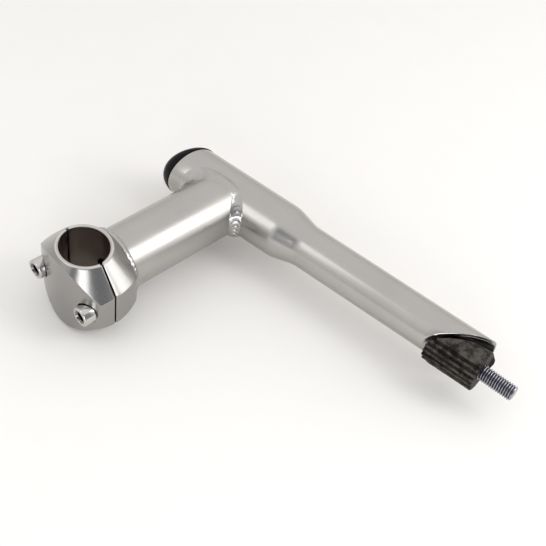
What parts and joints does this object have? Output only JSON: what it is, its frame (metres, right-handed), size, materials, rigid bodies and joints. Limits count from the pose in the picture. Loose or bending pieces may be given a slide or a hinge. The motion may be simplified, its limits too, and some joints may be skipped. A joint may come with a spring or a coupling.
{
  "type": "quill stem",
  "caption": "Welded aluminium quill stem with a wedge expander, a forward extension and a removable-front handlebar clamp.",
  "frame": {"origin": "under the middle of the bounding box, on the plane of the clamp's lower rim face", "axes": "+X down the quill from the cap to the expander wedge, -Y forward to the handlebar clamp, +Z along the handlebar axis"},
  "size_m": [0.2144, 0.1238, 0.045],
  "materials": {
    "satin_aluminium": "satin",
    "weld_aluminium": "satin weld bead",
    "machined_aluminium": "satin, machined",
    "chromed_bolts": "polished",
    "zinc_steel": "zinc plated",
    "cast_wedge": "rough casting",
    "black_plastic": "fine matte"
  },
  "bodies": {
    "stem": {"quill_tube": "satin_aluminium", "bolt_seat": "satin_aluminium", "extension_tube": "satin_aluminium", "quill_weld": "weld_aluminium", "clamp_weld": "weld_aluminium", "clamp_body": "machined_aluminium"},
    "faceplate": {"clamp_faceplate": "machined_aluminium"},
    "upper_faceplate_bolt": {"faceplate_bolt_upper": "chromed_bolts"},
    "lower_faceplate_bolt": {"faceplate_bolt_lower": "chromed_bolts"},
    "expander": {"expander_bolt": "zinc_steel", "expander_washer": "zinc_steel"},
    "wedge": {"expander_wedge": "cast_wedge"},
    "cap": {"top_cap": "black_plastic"}
  },
  "joints": [
    {"name": "faceplate_slide", "type": "slide", "parent": "stem", "child": "faceplate", "axis": [-0.1736, -0.9848, 0], "range_m": [-0.0004, 0.006]},
    {"name": "upper_bolt_turn", "type": "hinge", "parent": "faceplate", "child": "upper_faceplate_bolt", "pos_m": [-0.10113, -0.04781, 0.0225], "axis": [-0.1736, -0.9848, 0], "continuous": true},
    {"name": "lower_bolt_turn", "type": "hinge", "parent": "faceplate", "child": "lower_faceplate_bolt", "pos_m": [-0.06607, -0.05399, 0.0225], "axis": [-0.1736, -0.9848, 0], "continuous": true},
    {"name": "expander_bolt_turn", "type": "hinge", "parent": "stem", "child": "expander", "pos_m": [-0.07679, 0.04729, 0.0225], "axis": [0.9995, -0.0319, 0], "range_deg": [-2880, 1080]},
    {"name": "wedge_travel", "type": "slide", "parent": "stem", "child": "wedge", "axis": [0.9995, -0.0319, 0], "range_m": [-0.00375, 0.01]},
    {"name": "cap_pull", "type": "slide", "parent": "stem", "child": "cap", "axis": [-1, 0, 0], "range_m": [0, 0.012]}
  ],
  "couplings": [
    {"joint": "expander_bolt_turn", "follows": "wedge_travel", "rad_per_m": -5026.5}
  ]
}
